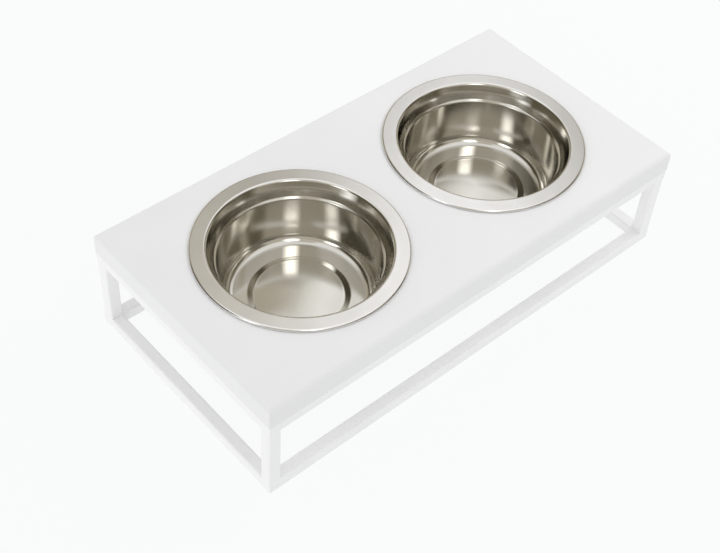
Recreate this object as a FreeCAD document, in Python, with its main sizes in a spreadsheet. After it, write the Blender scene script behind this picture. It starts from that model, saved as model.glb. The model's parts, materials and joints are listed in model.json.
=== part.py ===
"""A pet bowl stand: a board on a welded frame of square tube, with two steel bowls that lift out.

The origin is on the floor under the middle of the board. X runs along the board, Y to its back, Z up.
"""
import FreeCAD, Part
import math
import os
from types import SimpleNamespace

import Sketcher
from FreeCAD import Placement, Rotation, Vector

# Driving sizes in millimetres: name, size, what it measures
SIZES = (
    ("plate_length", "400", "length of the board along X"),
    ("plate_width", "202", "depth of the board along Y"),
    ("plate_thickness", "18", "thickness of the board"),
    ("plate_top_radius", "4", "rounding of the board's upper edges"),
    ("plate_corner_radius", "1", "rounding of the board's upright corners"),
    ("plate_bottom_radius", "0.6", "rounding of the board's lower edges"),
    ("hole_edge_radius", "1", "rounding of the bowl holes' edges"),
    ("frame_height", "77", "height of the welded frame"),
    ("frame_inset", "0.5", "how far the frame stands back from the board's sides"),
    ("bar_size", "10", "outside of the square tube"),
    ("bar_wall", "1.2", "wall of the square tube"),
    ("bar_edge_radius", "1.5", "rounding of the tube's long edges"),
    ("rim_gap", "24.5", "gap between the two bowls' rims"),
    ("bowl_clearance", "1", "gap between a bowl's neck and its hole"),
    ("bowl_seat_gap", "0.3", "gap under a bowl's rim"),
    ("sheet_thickness", "0.8", "steel sheet of the bowls"),
    ("mouth_diameter", "134.5", "inside of a bowl's lip, before its rounding"),
    ("rim_width", "12.5", "width of the rim from the mouth to its outside"),
    ("rim_height", "1.9", "height of the rim's turned-down edge"),
    ("rim_edge_radius", "1.6", "rounding of the rim's turned-down edge"),
    ("lip_radius", "2.5", "rounding of the lip"),
    ("bowl_depth", "53", "height of the lip over the floor of the bowl, before its rounding"),
    ("neck_inset", "5.45", "how far the bowl narrows from its mouth to its shoulder"),
    ("shoulder_depth", "13", "depth of the shoulder below the lip"),
    ("shoulder_rise", "1.2", "height of the shoulder's sloping ledge"),
    ("shoulder_width", "1.8", "width of the shoulder's sloping ledge"),
    ("wall_taper", "3.5", "how far the wall narrows from the shoulder to the floor"),
    ("floor_corner_radius", "8", "rounding between the bowl's wall and floor"),
    ("disc_margin", "22.5", "distance of the raised disc from the bowl's wall at its floor"),
    ("disc_rise", "1.4", "height of the raised disc"),
    ("disc_slope", "4.4", "width of the raised disc's sloping edge"),
    ("screw_diameter", "3.5", "shank of a screw"),
    ("screw_bite", "11", "how far a screw reaches into the board"),
    ("screw_tip", "2.5", "length of a screw's point"),
    ("screw_tip_diameter", "1.2", "end of a screw's point"),
    ("screw_head_diameter", "6.8", "head of a screw"),
    ("screw_head_height", "2.4", "height of a screw's head"),
    ("screw_head_radius", "1", "rounding of a screw's head"),
    ("recess_length", "3.6", "length of each arm pair of the cross recess"),
    ("recess_width", "0.9", "width of the cross recess"),
    ("recess_depth", "1.3", "depth of the cross recess"),
    ("screw_hole_gap", "0.25", "gap around a screw in the frame"),
    ("pilot_hole_gap", "0.1", "gap around a screw in the board"),
    ("pilot_hole_spare", "1", "depth of a pilot hole beyond its screw"),
    ("screw_spacing", "250", "distance between the two screws of a long rail"),
    ("pad_thickness", "1", "thickness of an anti-slip pad"),
    ("pad_length", "22", "length of an anti-slip pad"),
    ("pad_width", "6.5", "width of an anti-slip pad"),
    ("pad_corner_radius", "2", "rounding of a pad's corners"),
    ("pad_setback", "6", "distance of a pad from the end of its rail"),
)

# How near two heights, two widths or two directions have to be to count as the same
SAME_HEIGHT = 1e-6
SAME_WIDTH = 0.01
SAME_DIRECTION = 0.001

doc = FreeCAD.newDocument("PetBowlStand")
sheet = doc.addObject("Spreadsheet::Sheet", "Sizes")
for row, (name, text, meaning) in enumerate(SIZES, start=1):
    sheet.set(f"A{row}", meaning)
    sheet.set(f"B{row}", text)
    sheet.setAlias(f"B{row}", name)
doc.recompute()


class Size:
    """A size that knows both its number and its formula on the sheet."""

    def __init__(self, number, formula):
        self.number = number
        self.formula = formula

    def joined(self, sign, other, work):
        other = other if isinstance(other, Size) else Size(other, str(other))
        return Size(work(self.number, other.number), f"({self.formula} {sign} {other.formula})")

    def __add__(self, other):
        return self.joined("+", other, lambda a, b: a + b)

    def __sub__(self, other):
        return self.joined("-", other, lambda a, b: a - b)

    def __mul__(self, other):
        return self.joined("*", other, lambda a, b: a * b)

    def __truediv__(self, other):
        return self.joined("/", other, lambda a, b: a / b)

    def __neg__(self):
        return self * -1


size = SimpleNamespace(**{name: Size(getattr(sheet, name), f"Sizes.{name}") for name, _, _ in SIZES})
ZERO = Size(0, "0")

# Places that several pieces share
half_length = size.plate_length / 2
half_width = size.plate_width / 2
frame_half_length = half_length - size.frame_inset
frame_half_width = half_width - size.frame_inset
frame_top = size.pad_thickness + size.frame_height
top_rail_base = frame_top - size.bar_size
post_base = size.pad_thickness + size.bar_size
plate_top = frame_top + size.plate_thickness
rail_middle = size.bar_size / 2
hole_diameter = size.mouth_diameter + (size.sheet_thickness + size.bowl_clearance) * 2
rim_diameter = size.mouth_diameter + size.rim_width * 2
bowl_x = (rim_diameter + size.rim_gap) / 2
bowl_base = plate_top + size.bowl_seat_gap + size.rim_height - size.bowl_depth
screw_reach = size.bar_size + size.screw_bite

# Where the screws stand, seen from above
long_screw_x = size.screw_spacing / 2
long_screw_y = frame_half_width - rail_middle
short_screw_x = frame_half_length - rail_middle
SCREW_PLACES = (
    (-long_screw_x, -long_screw_y),
    (long_screw_x, -long_screw_y),
    (-long_screw_x, long_screw_y),
    (long_screw_x, long_screw_y),
    (-short_screw_x, ZERO),
    (short_screw_x, ZERO),
)


def place(thing, x, y, z, turn=0):
    """Puts a piece where its formulas say, turned about the upright axis by some degrees."""
    thing.Placement = Placement(Vector(x.number, y.number, z.number), Rotation(Vector(0, 0, 1), turn))
    for axis, where in zip("xyz", (x, y, z)):
        thing.setExpression(f"Placement.Base.{axis}", where.formula)


def new_body(label):
    body = doc.addObject("PartDesign::Body", label)
    body.Label = label
    return body


def new_sketch(body, name, role):
    """Makes a sketch on one of the body's own origin planes."""
    sketch = body.newObject("Sketcher::SketchObject", name)
    planes = {feature.Role: feature for feature in body.Origin.OriginFeatures}
    sketch.AttachmentSupport = (planes[role], [""])
    sketch.MapMode = "FlatFace"
    return sketch


def hold(sketch, kind, places, measure):
    """Adds a dimension to a sketch and ties it to its formula."""
    name = f"{kind}{sketch.ConstraintCount}"
    index = sketch.addConstraint(Sketcher.Constraint(kind, *places, measure.number))
    sketch.renameConstraint(index, name)
    sketch.setExpression(f"Constraints.{name}", measure.formula)


def hold_point(sketch, line, end, x, y):
    """Fixes one end of a line, or a centre, by its distances from the sketch's origin."""
    hold(sketch, "DistanceX", (-1, 1, line, end), x)
    hold(sketch, "DistanceY", (-1, 1, line, end), y)


def draw_polygon(sketch, corners):
    """Draws a closed outline through corners given as pairs of sizes."""
    first = sketch.GeometryCount
    count = len(corners)
    spots = [Vector(x.number, y.number, 0) for x, y in corners]
    for index in range(count):
        sketch.addGeometry(Part.LineSegment(spots[index], spots[(index + 1) % count]))
    for index, (x, y) in enumerate(corners):
        after = first + (index + 1) % count
        sketch.addConstraint(Sketcher.Constraint("Coincident", first + index, 2, after, 1))
        hold_point(sketch, first + index, 1, x, y)


def draw_rectangle(sketch, left, right, low, high):
    draw_polygon(sketch, ((left, low), (right, low), (right, high), (left, high)))


def draw_circle(sketch, x, y, diameter):
    circle = Part.Circle(Vector(x.number, y.number, 0), Vector(0, 0, 1), diameter.number / 2)
    index = sketch.addGeometry(circle)
    hold_point(sketch, index, 3, x, y)
    hold(sketch, "Diameter", (index,), diameter)


def draw_rounded_line(sketch, corners):
    """Draws an open line through corners of (x, y, radius), with an arc at each corner that has a radius."""
    spots = [Vector(x.number, y.number, 0) for x, y, _ in corners]
    starts = list(spots)
    ends = list(spots)
    bends = {}
    for index, (_, _, radius) in enumerate(corners):
        if radius is None:
            continue
        back = (spots[index - 1] - spots[index]).normalize()
        ahead = (spots[index + 1] - spots[index]).normalize()
        half_angle = back.getAngle(ahead) / 2
        reach = radius.number / math.tan(half_angle)
        middle = (back + ahead).normalize() * (radius.number / math.sin(half_angle))
        ends[index] = spots[index] + back * reach
        starts[index] = spots[index] + ahead * reach
        bends[index] = (spots[index] + middle, ahead.cross(back).z > 0)
    stretches = []
    for index in range(len(spots) - 1):
        stretches.append(sketch.addGeometry(Part.LineSegment(starts[index], ends[index + 1])))
    for index, (x, y, radius) in enumerate(corners[:-1]):
        if index not in bends:
            hold_point(sketch, stretches[index], 1, x, y)
            if index > 0:
                join = Sketcher.Constraint("Coincident", stretches[index - 1], 2, stretches[index], 1)
                sketch.addConstraint(join)
            continue
        middle, turns_left = bends[index]
        from_spot, to_spot = ends[index] - middle, starts[index] - middle
        if not turns_left:
            from_spot, to_spot = to_spot, from_spot
        from_angle = math.atan2(from_spot.y, from_spot.x)
        to_angle = math.atan2(to_spot.y, to_spot.x)
        circle = Part.Circle(middle, Vector(0, 0, 1), radius.number)
        arc = sketch.addGeometry(Part.ArcOfCircle(circle, from_angle, to_angle))
        arc_in, arc_out = (1, 2) if turns_left else (2, 1)
        sketch.addConstraint(Sketcher.Constraint("Tangent", stretches[index - 1], 2, arc, arc_in))
        sketch.addConstraint(Sketcher.Constraint("Tangent", stretches[index], 1, arc, arc_out))
        hold(sketch, "Radius", (arc,), radius)
        corner = sketch.addGeometry(Part.Point(spots[index]), True)
        hold_point(sketch, corner, 1, x, y)
        sketch.addConstraint(Sketcher.Constraint("PointOnObject", corner, 1, stretches[index - 1]))
        sketch.addConstraint(Sketcher.Constraint("PointOnObject", corner, 1, stretches[index]))
    x, y, _ = corners[-1]
    hold_point(sketch, stretches[-1], 2, x, y)


def pad(body, sketch, height):
    feature = body.newObject("PartDesign::Pad", "Pad")
    feature.Profile = sketch
    feature.setExpression("Length", height.formula)
    doc.recompute()
    return feature


def cut_through(body, sketch):
    """Cuts a sketch through the whole body, both ways, and makes sure that something was cut."""
    before = body.Shape.Volume
    feature = body.newObject("PartDesign::Pocket", "Pocket")
    feature.Profile = sketch
    feature.Type = "ThroughAll"
    feature.SideType = "Symmetric"
    doc.recompute()
    if not feature.Shape.Volume < before:
        raise ValueError(f"{body.Label}: the cut misses the body")
    return feature


def cut_up(body, sketch, depth):
    """Cuts a sketch upwards from its plane to a depth, and makes sure that something was cut."""
    before = body.Shape.Volume
    feature = body.newObject("PartDesign::Pocket", "Pocket")
    feature.Profile = sketch
    feature.Reversed = True
    feature.setExpression("Length", depth.formula)
    doc.recompute()
    if not feature.Shape.Volume < before:
        raise ValueError(f"{body.Label}: the cut misses the body")
    return feature


def round_edges(body, base, radius, wanted):
    """Rounds those edges of a feature that the test picks."""
    edges = [f"Edge{number}" for number, edge in enumerate(base.Shape.Edges, start=1) if wanted(edge)]
    feature = body.newObject("PartDesign::Fillet", "Rounding")
    feature.Base = (base, edges)
    feature.setExpression("Radius", radius.formula)
    doc.recompute()
    return feature


def is_straight(edge):
    return isinstance(edge.Curve, Part.Line)


def runs_along(edge, axis):
    """True for a straight edge along an axis."""
    return is_straight(edge) and abs(edge.tangentAt(edge.FirstParameter).dot(axis)) > 1 - SAME_DIRECTION


def at_height(edge, height):
    box = edge.BoundBox
    return all(math.isclose(z, height, abs_tol=SAME_HEIGHT) for z in (box.ZMin, box.ZMax))


def is_ring(edge, diameter):
    """True for a closed edge of that width."""
    return edge.isClosed() and math.isclose(edge.BoundBox.XLength, diameter, abs_tol=SAME_WIDTH)


def make_rail(label, length, turn, x, y, z, screws=()):
    """A length of square tube with mitred ends, its outer face at Y 0, and holes for its screws."""
    body = new_body(label)
    half = length / 2
    outline = new_sketch(body, "Outline", "XY_Plane")
    draw_polygon(outline, (
        (-half, ZERO),
        (half, ZERO),
        (half - size.bar_size, size.bar_size),
        (size.bar_size - half, size.bar_size),
    ))
    solid = pad(body, outline, size.bar_size)
    round_edges(body, solid, size.bar_edge_radius, lambda edge: runs_along(edge, Vector(1, 0, 0)))
    bore = new_sketch(body, "Bore", "YZ_Plane")
    inner = size.bar_size - size.bar_wall
    draw_rectangle(bore, size.bar_wall, inner, size.bar_wall, inner)
    cut_through(body, bore)
    if screws:
        holes = new_sketch(body, "ScrewHoles", "XY_Plane")
        for along in screws:
            draw_circle(holes, along, rail_middle, size.screw_diameter + size.screw_hole_gap * 2)
        cut_through(body, holes)
    place(body, x, y, z, turn)
    return body


def make_rails(level, z, long_screws=(), short_screws=()):
    """The four rails of one level, mitred into a rectangle."""
    length = frame_half_length * 2
    width = frame_half_width * 2
    return [
        make_rail(f"front_{level}_rail", length, 0, ZERO, -frame_half_width, z, long_screws),
        make_rail(f"right_{level}_rail", width, 90, frame_half_length, ZERO, z, short_screws),
        make_rail(f"back_{level}_rail", length, 180, ZERO, frame_half_width, z, long_screws),
        make_rail(f"left_{level}_rail", width, 270, -frame_half_length, ZERO, z, short_screws),
    ]


def make_post(label, x, y):
    """An upright length of square tube between the rails."""
    body = new_body(label)
    half = size.bar_size / 2
    outline = new_sketch(body, "Outline", "XY_Plane")
    draw_rectangle(outline, -half, half, -half, half)
    solid = pad(body, outline, top_rail_base - post_base)
    round_edges(body, solid, size.bar_edge_radius, lambda edge: runs_along(edge, Vector(0, 0, 1)))
    bore = new_sketch(body, "Bore", "XY_Plane")
    inner = half - size.bar_wall
    draw_rectangle(bore, -inner, inner, -inner, inner)
    cut_through(body, bore)
    place(body, x, y, post_base)
    return body


def make_pad(label, x, y):
    """An anti-slip pad under a bottom rail."""
    body = new_body(label)
    outline = new_sketch(body, "Outline", "XY_Plane")
    half_pad = size.pad_length / 2
    half_strip = size.pad_width / 2
    draw_rectangle(outline, -half_pad, half_pad, -half_strip, half_strip)
    solid = pad(body, outline, size.pad_thickness)
    round_edges(body, solid, size.pad_corner_radius, lambda edge: runs_along(edge, Vector(0, 0, 1)))
    place(body, x, y, ZERO)
    return body


def make_plate():
    """The board, with its two bowl holes and the pilot holes for its screws."""
    body = new_body("top_plate")
    outline = new_sketch(body, "Outline", "XY_Plane")
    draw_rectangle(outline, -half_length, half_length, -half_width, half_width)
    solid = pad(body, outline, size.plate_thickness)
    top = size.plate_thickness.number
    solid = round_edges(body, solid, size.plate_top_radius, lambda edge: at_height(edge, top))
    solid = round_edges(body, solid, size.plate_corner_radius, lambda edge: runs_along(edge, Vector(0, 0, 1)))
    round_edges(body, solid, size.plate_bottom_radius, lambda edge: at_height(edge, 0))
    holes = new_sketch(body, "BowlHoles", "XY_Plane")
    for side in (-1, 1):
        draw_circle(holes, bowl_x * side, ZERO, hole_diameter)
    solid = cut_through(body, holes)
    round_edges(body, solid, size.hole_edge_radius, lambda edge: is_ring(edge, hole_diameter.number))
    pilots = new_sketch(body, "PilotHoles", "XY_Plane")
    for x, y in SCREW_PLACES:
        draw_circle(pilots, x, y, size.screw_diameter + size.pilot_hole_gap * 2)
    cut_up(body, pilots, size.screw_bite + size.pilot_hole_spare)
    place(body, ZERO, ZERO, frame_top)
    return body


def make_screw(label, x, y):
    """A round-headed wood screw that points up, with the seat of its head at Z 0."""
    body = new_body(label)
    outline = new_sketch(body, "Outline", "XZ_Plane")
    shank = size.screw_diameter / 2
    head = size.screw_head_diameter / 2
    draw_polygon(outline, (
        (ZERO, -size.screw_head_height),
        (head, -size.screw_head_height),
        (head, ZERO),
        (shank, ZERO),
        (shank, screw_reach - size.screw_tip),
        (size.screw_tip_diameter / 2, screw_reach),
        (ZERO, screw_reach),
    ))
    solid = body.newObject("PartDesign::Revolution", "Turned")
    solid.Profile = outline
    solid.ReferenceAxis = (outline, ["V_Axis"])
    solid.Angle = 360
    doc.recompute()
    low = -size.screw_head_height.number
    round_edges(body, solid, size.screw_head_radius, lambda edge: at_height(edge, low))
    recess = new_sketch(body, "Recess", "XY_Plane")
    recess.AttachmentOffset.Base = Vector(0, 0, low)
    recess.setExpression("AttachmentOffset.Base.z", (-size.screw_head_height).formula)
    arm = size.recess_length / 2
    half = size.recess_width / 2
    draw_polygon(recess, (
        (-half, -arm), (half, -arm), (half, -half), (arm, -half), (arm, half), (half, half),
        (half, arm), (-half, arm), (-half, half), (-arm, half), (-arm, -half), (-half, -half),
    ))
    cut_up(body, recess, size.recess_depth)
    place(body, x, y, top_rail_base)
    return body


def make_screws():
    """All the screws, as one group of separate solids."""
    screws = [make_screw(f"screw_{number}", x, y) for number, (x, y) in enumerate(SCREW_PLACES, start=1)]
    group = doc.addObject("Part::Compound", "plate_screws")
    group.Label = "plate_screws"
    group.Links = screws
    doc.recompute()
    return group


def make_bowl_section():
    """The cut through a bowl's sheet, from its axis out to the rim's edge, with the bowl's floor at Z 0."""
    profile = doc.addObject("Sketcher::SketchObject", "BowlProfile")
    profile.Placement = Placement(Vector(), Rotation(Vector(1, 0, 0), 90))
    mouth = size.mouth_diameter / 2
    neck = mouth - size.neck_inset
    wall = neck - size.shoulder_width
    floor = wall - size.wall_taper
    disc = floor - size.disc_margin
    shoulder = size.bowl_depth - size.shoulder_depth
    rim = rim_diameter / 2
    draw_rounded_line(profile, (
        (ZERO, size.disc_rise, None),
        (disc, size.disc_rise, None),
        (disc + size.disc_slope, ZERO, None),
        (floor, ZERO, size.floor_corner_radius),
        (wall, shoulder, None),
        (neck, shoulder + size.shoulder_rise, None),
        (mouth, size.bowl_depth, size.lip_radius),
        (rim, size.bowl_depth, size.rim_edge_radius),
        (rim, size.bowl_depth - size.rim_height, None),
    ))
    section = doc.addObject("Part::Offset2D", "BowlSection")
    section.Source = profile
    section.Mode = "Skin"
    section.Join = "Intersection"
    section.Fill = True
    section.setExpression("Value", (-size.sheet_thickness).formula)
    doc.recompute()
    return section


def make_bowl(label, section, side):
    """One bowl, turned from its section and hung in its hole by the rim."""
    bowl = doc.addObject("Part::Revolution", label)
    bowl.Label = label
    bowl.Source = section
    bowl.Axis = Vector(0, 0, 1)
    bowl.Angle = 360
    bowl.Solid = True
    place(bowl, bowl_x * side, ZERO, bowl_base)
    doc.recompute()
    return bowl


def make_stand():
    """Every piece of the stand, in the order in which it would be put together."""
    pieces = []
    pad_x = frame_half_length - size.pad_setback - size.pad_length / 2
    pad_y = frame_half_width - rail_middle
    post_x = frame_half_length - rail_middle
    post_y = frame_half_width - rail_middle
    for depth_name, back in (("front", -1), ("back", 1)):
        for side_name, right in (("left", -1), ("right", 1)):
            corner = f"{depth_name}_{side_name}"
            pieces.append(make_pad(f"{corner}_foot_pad", pad_x * right, pad_y * back))
            pieces.append(make_post(f"{corner}_post", post_x * right, post_y * back))
    pieces += make_rails("bottom", size.pad_thickness)
    pieces += make_rails("top", top_rail_base, (-long_screw_x, long_screw_x), (ZERO,))
    pieces.append(make_plate())
    pieces.append(make_screws())
    section = make_bowl_section()
    pieces.append(make_bowl("left_bowl", section, -1))
    pieces.append(make_bowl("right_bowl", section, 1))
    return pieces


def check(pieces):
    """Stops before anything is written if an object failed or a piece isn't sound."""
    for thing in doc.Objects:
        if "Invalid" in thing.State or "Error" in thing.State:
            raise ValueError(f"{thing.Label} failed: {thing.State}")
    for piece in pieces:
        if piece.Shape.isNull() or not piece.Shape.isValid():
            raise ValueError(f"{piece.Label} has no sound shape")


stand = make_stand()
doc.recompute()
check(stand)
os.makedirs("parts", exist_ok=True)
for piece in stand:
    piece.Shape.exportStep(os.path.join("parts", f"{piece.Label}.step"))
    print(piece.Label, len(piece.Shape.Solids), round(piece.Shape.Volume, 1))
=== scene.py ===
"""Looks of the pet bowl stand: materials, bowls, welds, floor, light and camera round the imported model."""
import json
import math
from collections import namedtuple

import bmesh
import bpy
from mathutils import Matrix, Vector


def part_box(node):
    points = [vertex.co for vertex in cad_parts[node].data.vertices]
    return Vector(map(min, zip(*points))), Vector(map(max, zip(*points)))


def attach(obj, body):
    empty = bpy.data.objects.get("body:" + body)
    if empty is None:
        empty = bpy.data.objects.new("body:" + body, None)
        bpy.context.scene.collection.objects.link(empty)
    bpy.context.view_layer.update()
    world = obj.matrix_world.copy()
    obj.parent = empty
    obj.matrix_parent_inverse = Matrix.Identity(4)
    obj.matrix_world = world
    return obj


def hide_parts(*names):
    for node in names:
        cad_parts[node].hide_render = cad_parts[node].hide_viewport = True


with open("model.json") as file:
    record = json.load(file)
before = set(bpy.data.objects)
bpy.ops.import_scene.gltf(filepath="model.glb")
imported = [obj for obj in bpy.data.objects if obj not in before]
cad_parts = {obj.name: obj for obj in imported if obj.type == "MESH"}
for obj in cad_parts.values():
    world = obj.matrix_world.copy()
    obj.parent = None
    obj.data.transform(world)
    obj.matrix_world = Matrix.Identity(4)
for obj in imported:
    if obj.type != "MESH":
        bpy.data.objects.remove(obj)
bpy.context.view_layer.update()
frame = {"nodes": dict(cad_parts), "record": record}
nodes = frame["nodes"]
scene = bpy.context.scene

MM = 0.001

# Light: the floor's own glow keeps it pale, the even light is stronger low from the back left and high from
# the front right, and one soft lamp hangs high on the right
FLOOR_SIZE = 60.0
FLOOR_ALBEDO = 0.05
FLOOR_GLOW = 0.915
FLOOR_WARMTH = -0.005
FLOOR_ROUGHNESS = 0.9
EVEN_LIGHT = 0.86
LIGHT_SIDE = Vector((-0.34, 0.45, 0.0))
HIGH_LIGHT_SIDE = Vector((0.25, -0.9, 0.0))
LAMP_PLACE = Vector((0.9, -0.15, 0.9))
LAMP_SIZE = 0.8
LAMP_POWER = 3.2

# The picture and the camera that took it
IMAGE_WIDTH_PX = 720
SENSOR_WIDTH_MM = 36.0
FOCAL_LENGTH_PX = 1311.5
CAMERA_YAW = math.radians(-44.289)
CAMERA_PITCH = math.radians(47.587)
CAMERA_ROLL = math.radians(4.374)
CAMERA_DISTANCE = 1046.756 * MM
CAMERA_TARGET = Vector((-16.749, 14.151, 1.2)) * MM

# The frame bars' round edges, and how far the ground welds lie below the bars' faces and reach along them
BAR_EDGE_RADIUS = 1.5 * MM
WELD_INSET = 0.03 * MM
WELD_REACH = 4.0 * MM

# The bowls, as they are in the model
RIM_RADIUS = 79.75 * MM
RIM_HEIGHT = 1.9 * MM
RIM_EDGE_RADIUS = 1.6 * MM
MOUTH_RADIUS = 67.25 * MM
LIP_RADIUS = 2.5 * MM
NECK_RADIUS = 61.8 * MM
WALL_RADIUS = 60.0 * MM
FLOOR_RADIUS = 56.5 * MM
DISC_RADIUS = 34.0 * MM
BOWL_DEPTH = 53.0 * MM
SHOULDER_DEPTH = 13.0 * MM
SHOULDER_RISE = 1.2 * MM
FLOOR_CORNER_RADIUS = 8.0 * MM
DISC_RISE = 1.4 * MM
DISC_SLOPE = 4.4 * MM
SHEET_THICKNESS = 0.8 * MM

# Smooth shading bends the light on a straight only this close to its ends
HOLD_DISTANCE = 0.3 * MM
SHORTEST_HELD = 1.5 * MM

# The faint dome and the soft creases that pressing leaves
DISC_DOME = 1.5 * MM
DOME_STEPS = 24
SHOULDER_RADIUS = 1.6 * MM
CREASE_RADIUS = 5.0 * MM
NECK_BEND = 0.5 * MM
NECK_BEND_RADIUS = 30.0 * MM

# The polish inside the bowl ends this far outside its mouth, and there the rim's satin steel begins, with a
# tone painted paler for the light the rim catches
POLISH_EDGE = 0.6 * MM

# How finely the meshes are drawn, and how near points have to be to become one
BOWL_SEGMENTS = 192
ARC_STEPS = 12
CORNER_STEPS = 6
SAME_POINT = 0.001 * MM

# The coats: clouds per metre, how far the shine varies with them, and a nearly matt surface
COAT_CLOUDS = 14.0
COAT_CLOUD_DETAIL = 4.0
COAT_CLOUD_START = 0.35
COAT_CLOUD_END = 0.65
COAT_VARIATION = 0.1
COAT_GRAIN_DETAIL = 2.0
COAT_GRAIN_STRENGTH = 0.25
COAT_SHINE = 0.15

# The steel: clouds per metre, how far the shine varies from ring to ring, and its faintly yellow tone. Spun
# steel stretches what it mirrors across its rings, a quarter turn from their direction.
STEEL_CLOUDS = 38.0
STEEL_CLOUD_DETAIL = 5.0
STEEL_CLOUD_START = 0.3
STEEL_CLOUD_END = 0.7
STEEL_RING_DETAIL = 3.0
STEEL_RING_STRENGTH = 0.2
STEEL_VARIATION = 0.2
STEEL_RED = 1.025
STEEL_BLUE = 0.93
QUARTER_TURN = 0.25

# The studio that shiny surfaces see. Places round the stand are in degrees: 0 is towards the front left,
# where the camera stands, and the angle grows towards the right. The walls' brightness goes by the height
# above the horizon, in degrees, and panels stand before them, each later one before the others. A panel that
# leans moves to the right by so many degrees for each degree of height.
STUDIO_FRONT = Vector((-0.698, -0.716, 0.0))
STUDIO_WALLS = ((36, 0.12), (42, 0.22), (48, 0.70), (55, 0.85), (61, 1.10), (90, 1.05))
Panel = namedtuple("Panel", "place half_width bottom top glow lean", defaults=(0,))
STUDIO_PANELS = {
    "left_wall": Panel(-76, 24, 0, 42, 0.12),
    "front_wall": Panel(6, 52, 7, 42, 0.60),
    "far_wall": Panel(180, 62, 0, 33, 0.50),
    "left_corner": Panel(-102, 38, 36, 51, 0.07),
    "right_corner": Panel(105, 45, 36, 49, 0.20),
    "far_left_corner": Panel(-155, 17, 43, 56, 0.50),
    "far_ceiling": Panel(164, 17, 43, 58, 0.95),
    "far_strip": Panel(175, 5, 36, 62, 1.25),
    "window": Panel(-41, 8, 20, 41, 3.6),
    "window_sill": Panel(-49, 7, 0, 11, 1.8),
    "right_window": Panel(95, 5, 30, 57, 0.6, 1.2),
    "camera_shade": Panel(0, 30, 57, 77, 0.60),
    "soft_box": Panel(19, 10, 43, 66, 3.6),
    "skirting": Panel(0, 115, 12, 20, 0.12),
}

# Half the width of the panels' soft edges, in degrees
SIDE_EDGE = 5.0
HEIGHT_EDGE = 1.5

# The dimmer a place in the studio, the warmer its tone
STUDIO_RED = 0.17
STUDIO_BLUE = -0.36

# Angles of the studio, in degrees
HALF_TURN = 180.0
ZENITH = 90

# The finishes of a bowl, in the order of its materials; the rim's has a steel tone painted paler than the
# inside's, for the light the rim catches
RIM, WALL, FLOOR = range(3)

# Places of a colour mix among the sockets of its node
MIX_SHARE = 0
MIX_FIRST = 6
MIX_SECOND = 7
MIX_RESULT = 2


class Shader:
    """A short way to write the nodes of a material or of the world."""

    def __init__(self, tree):
        self.tree = tree

    def node(self, kind, settings=None, **inputs):
        node = self.tree.nodes.new(kind)
        for name, value in (settings or {}).items():
            setattr(node, name, value)
        for name, value in inputs.items():
            self.set(node, name.replace("_", " "), value)
        return node

    def set(self, node, name, value):
        socket = node.inputs[int(name)] if name.isdigit() else node.inputs[name]
        if isinstance(value, bpy.types.NodeSocket):
            self.tree.links.new(value, socket)
        else:
            socket.default_value = value

    def link(self, out, node, name):
        self.tree.links.new(out, node.inputs[name])

    def noise(self, place, scale, detail):
        node = self.node("ShaderNodeTexNoise", Vector=place, Scale=scale, Detail=detail)
        return node.outputs["Fac"]

    def math(self, operation, *values):
        node = self.node("ShaderNodeMath", {"operation": operation})
        for index, value in enumerate(values):
            self.set(node, str(index), value)
        return node.outputs["Value"]

    def along(self, vector, direction):
        """How far a vector reaches in a direction."""
        node = self.node("ShaderNodeVectorMath", {"operation": "DOT_PRODUCT"})
        self.link(vector, node, 0)
        node.inputs[1].default_value = direction
        return node.outputs["Value"]

    def spread(self, value, start, end, low=0.0, high=1.0):
        """The value, spread from the stretch between start and end to that between low and high."""
        node = self.node("ShaderNodeMapRange", Value=value, From_Min=start, From_Max=end)
        node.inputs["To Min"].default_value = low
        node.inputs["To Max"].default_value = high
        return node.outputs["Result"]

    def ramp(self, value, stops):
        """A colour ramp through (place, colour) stops."""
        node = self.node("ShaderNodeValToRGB", Fac=value)
        elements = node.color_ramp.elements
        while len(elements) < len(stops):
            elements.new(1.0)
        while len(elements) > len(stops):
            elements.remove(elements[-1])
        for element, (place, colour) in zip(elements, stops):
            element.position = place
            element.color = colour
        return node.outputs["Color"]

    def mix(self, share, first, second):
        """A colour that goes from the first to the second as the share grows."""
        node = self.node("ShaderNodeMix", {"data_type": "RGBA"})
        for index, value in ((MIX_SHARE, share), (MIX_FIRST, first), (MIX_SECOND, second)):
            self.set(node, str(index), value)
        return node.outputs[MIX_RESULT]


def new_material(name):
    material = bpy.data.materials.new(name)
    material.use_nodes = True
    material.node_tree.nodes.clear()
    shader = Shader(material.node_tree)
    surface = shader.node("ShaderNodeBsdfPrincipled")
    output = shader.node("ShaderNodeOutputMaterial")
    shader.link(surface.outputs["BSDF"], output, "Surface")
    return material, shader, surface


def grey(level, warmth=0.0):
    """A grey, with more red and less blue the warmer it is."""
    return (level * (1 + warmth), level, level * (1 - warmth), 1.0)


def steel_grey(level):
    """The faintly yellow grey of stainless steel."""
    return (level * STEEL_RED, level, level * STEEL_BLUE, 1.0)


def make_coat(name, low, high, roughness, grain_size, grain_height):
    """Lacquer, powder coat or rubber: a faint cloudy tone and the fine grain of its surface."""
    material, shader, surface = new_material(name)
    place = shader.node("ShaderNodeTexCoord").outputs["Object"]
    cloud = shader.noise(place, COAT_CLOUDS, COAT_CLOUD_DETAIL)
    tones = ((COAT_CLOUD_START, low), (COAT_CLOUD_END, high))
    shader.link(shader.ramp(cloud, tones), surface, "Base Color")
    shine = shader.spread(cloud, 0, 1, roughness * (1 - COAT_VARIATION), roughness * (1 + COAT_VARIATION))
    shader.link(shine, surface, "Roughness")
    grain = shader.noise(place, 1 / grain_size, COAT_GRAIN_DETAIL)
    bump = shader.node("ShaderNodeBump", Height=grain, Strength=COAT_GRAIN_STRENGTH, Distance=grain_height)
    surface.inputs["Specular IOR Level"].default_value = COAT_SHINE
    shader.link(bump.outputs["Normal"], surface, "Normal")
    return material


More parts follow.
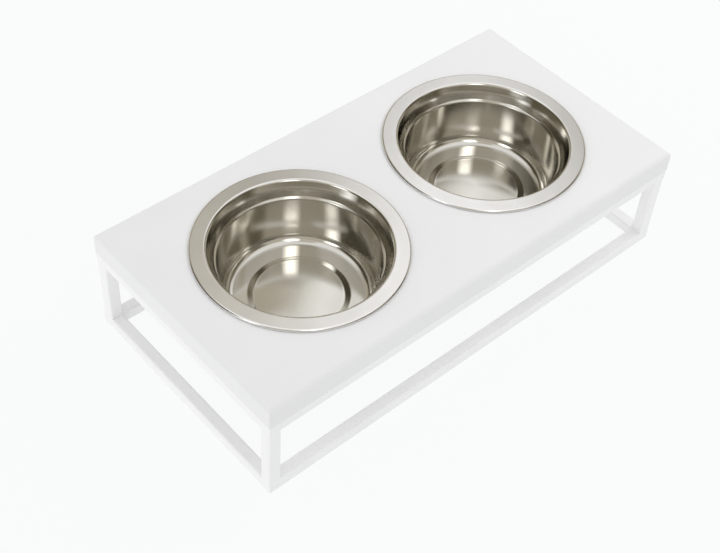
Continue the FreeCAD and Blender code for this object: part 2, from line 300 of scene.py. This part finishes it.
def make_steel(name, low, high, roughness, ring_size, ring_height=None, anisotropy=0.0):
    """Steel with the fine rings that spinning leaves, as shine and, where they have a height, as relief."""
    material, shader, surface = new_material(name)
    place = shader.node("ShaderNodeTexCoord").outputs["Object"]
    axes = shader.node("ShaderNodeSeparateXYZ", Vector=place)
    flat = shader.node("ShaderNodeCombineXYZ", X=axes.outputs["X"], Y=axes.outputs["Y"])
    radius = shader.node("ShaderNodeVectorMath", {"operation": "LENGTH"}, Vector=flat.outputs["Vector"])
    section = shader.node("ShaderNodeCombineXYZ", X=radius.outputs["Value"], Z=axes.outputs["Z"])
    rings = shader.noise(section.outputs["Vector"], 1 / ring_size, STEEL_RING_DETAIL)
    cloud = shader.noise(place, STEEL_CLOUDS, STEEL_CLOUD_DETAIL)
    tones = ((STEEL_CLOUD_START, low), (STEEL_CLOUD_END, high))
    shader.link(shader.ramp(cloud, tones), surface, "Base Color")
    shine = shader.spread(rings, 0, 1, roughness * (1 - STEEL_VARIATION), roughness * (1 + STEEL_VARIATION))
    shader.link(shine, surface, "Roughness")
    if ring_height:
        bump = shader.node("ShaderNodeBump", Height=rings, Strength=STEEL_RING_STRENGTH, Distance=ring_height)
        shader.link(bump.outputs["Normal"], surface, "Normal")
    tangent = shader.node("ShaderNodeTangent", {"direction_type": "RADIAL", "axis": "Z"})
    shader.link(tangent.outputs["Tangent"], surface, "Tangent")
    surface.inputs["Metallic"].default_value = 1.0
    surface.inputs["Anisotropic"].default_value = anisotropy
    surface.inputs["Anisotropic Rotation"].default_value = QUARTER_TURN
    return material


def paint(thing, material):
    """Gives a mesh this material in place of its own."""
    thing.data.materials.clear()
    thing.data.materials.append(material)


def rounded_line(corners):
    """Points through corners of (r, z, radius), with an arc at each corner that has a radius."""
    points = []
    for index, (r, z, radius) in enumerate(corners):
        corner = Vector((r, z))
        if not radius:
            points.append(corner)
            continue
        back = (Vector(corners[index - 1][:2]) - corner).normalized()
        ahead = (Vector(corners[index + 1][:2]) - corner).normalized()
        half_angle = back.angle(ahead) / 2
        middle = corner + (back + ahead).normalized() * (radius / math.sin(half_angle))
        start = corner + back * (radius / math.tan(half_angle)) - middle
        end = corner + ahead * (radius / math.tan(half_angle)) - middle
        turn = start.angle_signed(end)
        for step in range(ARC_STEPS + 1):
            points.append(middle + Matrix.Rotation(-turn * step / ARC_STEPS, 2) @ start)
    return points


def bowl_line():
    """The bowl's upper side from its axis to the edge of its rim, as (r, z) over the bowl's floor."""
    shoulder = BOWL_DEPTH - SHOULDER_DEPTH
    neck = shoulder + SHOULDER_RISE
    line = rounded_line((
        (0, DISC_RISE, None),
        (DISC_RADIUS, DISC_RISE, CREASE_RADIUS),
        (DISC_RADIUS + DISC_SLOPE, 0, CREASE_RADIUS),
        (FLOOR_RADIUS, 0, FLOOR_CORNER_RADIUS),
        (WALL_RADIUS, shoulder, SHOULDER_RADIUS),
        (NECK_RADIUS, neck, SHOULDER_RADIUS),
        ((NECK_RADIUS + MOUTH_RADIUS) / 2 - NECK_BEND, (neck + BOWL_DEPTH) / 2, NECK_BEND_RADIUS),
        (MOUTH_RADIUS, BOWL_DEPTH, LIP_RADIUS),
        (RIM_RADIUS, BOWL_DEPTH, RIM_EDGE_RADIUS),
        (RIM_RADIUS, BOWL_DEPTH - RIM_HEIGHT, None),
    ))[1:]
    dome = []
    for step in range(DOME_STEPS):
        share = step / DOME_STEPS
        dome.append(Vector((line[0].x * share, line[0].y + DISC_DOME * (1 - share ** 2))))
    return dome + line


def hold_straights(points):
    """Adds a point close to both ends of each long straight, so that smooth shading keeps it straight."""
    held = [points[0]]
    for start, end in zip(points, points[1:]):
        reach = end - start
        if reach.length > SHORTEST_HELD:
            step = reach.normalized() * HOLD_DISTANCE
            held += [start + step, end - step]
        held.append(end)
    return held


def offset_line(points, distance):
    """The line beside a line, at a distance to its right."""
    moved = []
    last = len(points) - 1
    for index, point in enumerate(points):
        back = points[max(index - 1, 0)]
        ahead = points[min(index + 1, last)]
        side = (ahead - back).normalized()
        moved.append(point + Vector((side.y, -side.x)) * distance)
    return moved


def zone_of(start, end, is_upper):
    """Which of the bowl's finishes a stretch of its section has: the rim's satin steel, whose paler tone is
    painted light, or the polished wall or floor.
    """
    middle = (start + end) / 2
    if not is_upper or middle.x > MOUTH_RADIUS + POLISH_EDGE:
        return RIM
    return WALL if middle.x > FLOOR_RADIUS - FLOOR_CORNER_RADIUS else FLOOR


def make_bowl(name, node):
    """A spun bowl in the place of its CAD node: the same section, with softened creases and a faint dome."""
    low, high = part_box(node)
    axis = (low + high) / 2
    floor_z = high.z - BOWL_DEPTH
    upper = hold_straights(bowl_line())
    lower = offset_line(upper, SHEET_THICKNESS)
    # The underside starts on the axis too
    lower[0].x = 0
    section = upper + lower[::-1]
    vertices = []
    faces = []
    zones = []
    count = len(section)
    for turn in range(BOWL_SEGMENTS):
        angle = 2 * math.pi * turn / BOWL_SEGMENTS
        for point in section:
            vertices.append((point.x * math.cos(angle), point.x * math.sin(angle), point.y))
    for turn in range(BOWL_SEGMENTS):
        here = turn * count
        there = (turn + 1) % BOWL_SEGMENTS * count
        for index in range(count - 1):
            faces.append((here + index, there + index, there + index + 1, here + index + 1))
            zones.append(zone_of(section[index], section[index + 1], index < len(upper) - 1))
    mesh = bpy.data.meshes.new(name)
    mesh.from_pydata(vertices, [], faces)
    # The rim's steel has a tone painted paler than the inside's, for the light the rim catches
    for steel in (rim_steel_painted_pale, wall_steel, floor_steel):
        mesh.materials.append(steel)
    mesh.polygons.foreach_set("use_smooth", [True] * len(faces))
    mesh.polygons.foreach_set("material_index", zones)
    cleaner = bmesh.new()
    cleaner.from_mesh(mesh)
    bmesh.ops.remove_doubles(cleaner, verts=cleaner.verts, dist=SAME_POINT)
    cleaner.to_mesh(mesh)
    cleaner.free()
    bowl = bpy.data.objects.new(name, mesh)
    bowl.location = (axis.x, axis.y, floor_z)
    scene.collection.objects.link(bowl)
    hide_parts(node)
    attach(bowl, node)


def rounded_square(half, radius):
    """The outline of a square with round corners, about its middle."""
    points = []
    for corner in range(4):
        turn = Matrix.Rotation(math.pi / 2 * corner, 2)
        for step in range(CORNER_STEPS + 1):
            angle = math.pi / 2 * step / CORNER_STEPS
            reach = Vector((math.cos(angle), math.sin(angle))) * radius
            points.append(turn @ (Vector((half - radius, half - radius)) + reach))
    return points


def add_weld(name, node, height):
    """A weld, ground flush and coated, which closes the grooves between a post and the rails at one end."""
    low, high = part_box(node)
    middle = (low + high) / 2
    bar_size = high.x - low.x
    outline = rounded_square(bar_size / 2 - WELD_INSET, BAR_EDGE_RADIUS)
    count = len(outline)
    vertices = [(point.x, point.y, z) for z in (-WELD_REACH, WELD_REACH) for point in outline]
    faces = [tuple(reversed(range(count))), tuple(range(count, 2 * count))]
    for index in range(count):
        after = (index + 1) % count
        faces.append((index, after, count + after, count + index))
    mesh = bpy.data.meshes.new(name)
    mesh.from_pydata(vertices, [], faces)
    weld = bpy.data.objects.new(name, mesh)
    weld.location = (middle.x, middle.y, height)
    scene.collection.objects.link(weld)
    paint(weld, frame_coat)
    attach(weld, "stand")


def add_floor():
    mesh = bpy.data.meshes.new("floor")
    half = FLOOR_SIZE / 2
    corners = [(-half, -half, 0), (half, -half, 0), (half, half, 0), (-half, half, 0)]
    mesh.from_pydata(corners, [], [(0, 1, 2, 3)])
    floor = bpy.data.objects.new("floor", mesh)
    scene.collection.objects.link(floor)
    material, _, surface = new_material("floor_paper")
    surface.inputs["Base Color"].default_value = grey(FLOOR_ALBEDO, FLOOR_WARMTH)
    surface.inputs["Roughness"].default_value = FLOOR_ROUGHNESS
    surface.inputs["Specular IOR Level"].default_value = 0.0
    surface.inputs["Emission Color"].default_value = grey(1.0, FLOOR_WARMTH)
    surface.inputs["Emission Strength"].default_value = FLOOR_GLOW
    paint(floor, material)


def studio_tone(level):
    """The colour of a brightness in the studio: the dimmer, the warmer."""
    dim = max(0.0, 1 - level)
    return (level * (1 + STUDIO_RED * dim), level, level * (1 + STUDIO_BLUE * dim), 1.0)


def panel_share(shader, panel, azimuth, elevation):
    """How far a direction lies within a panel: 0 outside, 1 inside, and between them at its soft edges."""
    middle = (panel.bottom + panel.top) / 2
    shift = shader.math("MULTIPLY", shader.math("SUBTRACT", elevation, middle), panel.lean)
    off = shader.math("SUBTRACT", shader.math("SUBTRACT", azimuth, panel.place), shift)
    distance = shader.math("PINGPONG", off, HALF_TURN)
    across = shader.spread(distance, panel.half_width + SIDE_EDGE, panel.half_width - SIDE_EDGE)
    over = shader.spread(elevation, panel.bottom - HEIGHT_EDGE, panel.bottom + HEIGHT_EDGE)
    under = shader.spread(elevation, panel.top + HEIGHT_EDGE, panel.top - HEIGHT_EDGE)
    return shader.math("MULTIPLY", across, shader.math("MULTIPLY", over, under))


def add_world():
    """An even white light, in place of which shiny surfaces see the studio's walls and panels."""
    world = bpy.data.worlds.new("studio")
    scene.world = world
    world.use_nodes = True
    world.cycles.sampling_method = "NONE"
    shader = Shader(world.node_tree)
    background = world.node_tree.nodes["Background"]
    towards = shader.node("ShaderNodeTexCoord").outputs["Generated"]
    height = shader.node("ShaderNodeSeparateXYZ", Vector=towards).outputs["Z"]
    side = Vector((-STUDIO_FRONT.y, STUDIO_FRONT.x, 0.0))
    sideways = shader.along(towards, side)
    forward = shader.along(towards, STUDIO_FRONT)
    azimuth = shader.math("DEGREES", shader.math("ARCTAN2", sideways, forward))
    elevation = shader.math("DEGREES", shader.math("ARCSINE", height))
    walls = [(degrees / ZENITH, studio_tone(level)) for degrees, level in STUDIO_WALLS]
    shiny = shader.ramp(shader.spread(elevation, 0, ZENITH), walls)
    for panel in STUDIO_PANELS.values():
        share = panel_share(shader, panel, azimuth, elevation)
        shiny = shader.mix(share, shiny, studio_tone(panel.glow))
    low_light = shader.math("ADD", shader.along(towards, LIGHT_SIDE), EVEN_LIGHT)
    high_light = shader.math("MULTIPLY", shader.along(towards, HIGH_LIGHT_SIDE), height)
    even = shader.math("ADD", low_light, high_light)
    seen = shader.node("ShaderNodeLightPath").outputs["Is Glossy Ray"]
    shader.link(shader.mix(seen, even, shiny), background, "Color")


def add_lamp():
    """A broad soft lamp, which lights the coats but isn't mirrored in the steel."""
    data = bpy.data.lights.new("soft_lamp", "AREA")
    data.shape = "DISK"
    data.size = LAMP_SIZE
    data.energy = LAMP_POWER
    lamp = bpy.data.objects.new("soft_lamp", data)
    lamp.location = LAMP_PLACE
    lamp.rotation_euler = LAMP_PLACE.to_track_quat("Z", "Y").to_euler()
    lamp.visible_glossy = False
    scene.collection.objects.link(lamp)


def add_camera():
    data = bpy.data.cameras.new("camera")
    data.sensor_width = SENSOR_WIDTH_MM
    data.lens = FOCAL_LENGTH_PX * SENSOR_WIDTH_MM / IMAGE_WIDTH_PX
    back = Vector((
        math.sin(CAMERA_YAW) * math.cos(CAMERA_PITCH),
        -math.cos(CAMERA_YAW) * math.cos(CAMERA_PITCH),
        math.sin(CAMERA_PITCH),
    ))
    level_right = Vector((math.cos(CAMERA_YAW), math.sin(CAMERA_YAW), 0))
    level_up = back.cross(level_right)
    right = level_right * math.cos(CAMERA_ROLL) + level_up * math.sin(CAMERA_ROLL)
    up = level_up * math.cos(CAMERA_ROLL) - level_right * math.sin(CAMERA_ROLL)
    camera = bpy.data.objects.new("camera", data)
    turn = Matrix((right, up, back)).transposed()
    camera.matrix_world = Matrix.Translation(CAMERA_TARGET + back * CAMERA_DISTANCE) @ turn.to_4x4()
    scene.collection.objects.link(camera)
    scene.camera = camera


board_lacquer = make_coat("board_lacquer", low=grey(0.825), high=grey(0.845), roughness=0.34,
                          grain_size=1.6 * MM, grain_height=0.05 * MM)
frame_coat = make_coat("frame_powder_coat", low=grey(0.90), high=grey(0.92), roughness=0.42,
                       grain_size=0.7 * MM, grain_height=0.02 * MM)
pad_rubber = make_coat("pad_rubber", low=grey(0.52, warmth=0.01), high=grey(0.58, warmth=0.01),
                       roughness=0.75, grain_size=0.4 * MM, grain_height=0.08 * MM)
screw_zinc = make_steel("screw_zinc", low=grey(0.55, warmth=-0.02), high=grey(0.66, warmth=-0.01),
                        roughness=0.30, ring_size=0.6 * MM, ring_height=0.01 * MM)
# The rim's steel is given a paler, whiter tone than the inside's: painted brightness for the light the rim
# catches. Its rougher satin shine is real.
rim_steel_painted_pale = make_steel("rim_steel_painted_pale", low=grey(0.78, warmth=0.01), high=grey(0.85, warmth=0.005),
                       roughness=0.20, ring_size=0.35 * MM, ring_height=0.003 * MM, anisotropy=0.3)
wall_steel = make_steel("wall_steel", low=steel_grey(0.60), high=steel_grey(0.63), roughness=0.12,
                        ring_size=0.7 * MM, anisotropy=0.9)
floor_steel = make_steel("floor_steel", low=steel_grey(0.61), high=steel_grey(0.64), roughness=0.11,
                         ring_size=0.5 * MM, anisotropy=0.9)
finishes = {"board": board_lacquer, "frame": frame_coat, "screw": screw_zinc, "pad": pad_rubber}
for subpart in frame["record"]["subparts"]:
    if subpart["material_slot"] in finishes:
        paint(nodes[subpart["node"]], finishes[subpart["material_slot"]])
for side in ("left", "right"):
    make_bowl(f"{side}_spun_bowl", f"{side}_bowl")
    for end in ("front", "back"):
        post = f"{end}_{side}_post"
        low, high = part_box(post)
        add_weld(f"{end}_{side}_bottom_weld", post, low.z)
        add_weld(f"{end}_{side}_top_weld", post, high.z)
add_floor()
add_world()
add_lamp()
add_camera()
scene.view_settings.view_transform = "Standard"
